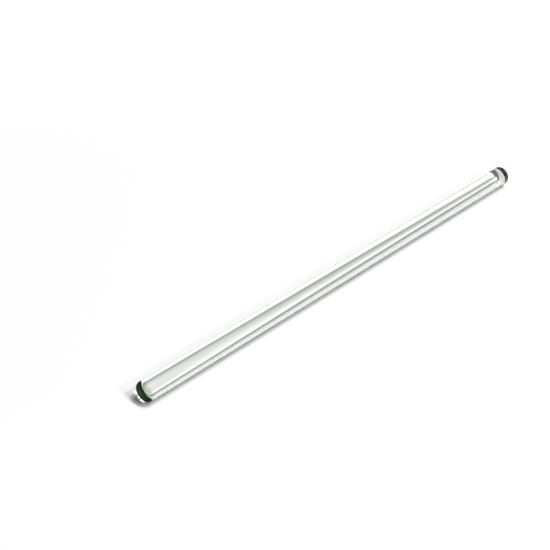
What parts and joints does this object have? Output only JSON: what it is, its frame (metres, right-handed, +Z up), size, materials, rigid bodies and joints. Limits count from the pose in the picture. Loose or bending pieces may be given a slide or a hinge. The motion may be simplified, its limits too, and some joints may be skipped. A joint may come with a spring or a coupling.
{
  "type": "glass stirring rod",
  "caption": "Solid clear glass rod with fire-polished, rounded ends, for stirring liquids and guiding a pour in the lab.",
  "frame": {"origin": "centre of the rod, halfway between its two tips, on its axis", "axes": "+X along the rod, +Z up as it lies"},
  "size_m": [0.2, 0.008, 0.008],
  "materials": {
    "glass": "clear drawn soda-lime glass, fire-polished, colourless across the rod and green along it"
  },
  "bodies": {
    "root": {"glass_rod": "glass"}
  },
  "joints": []
}
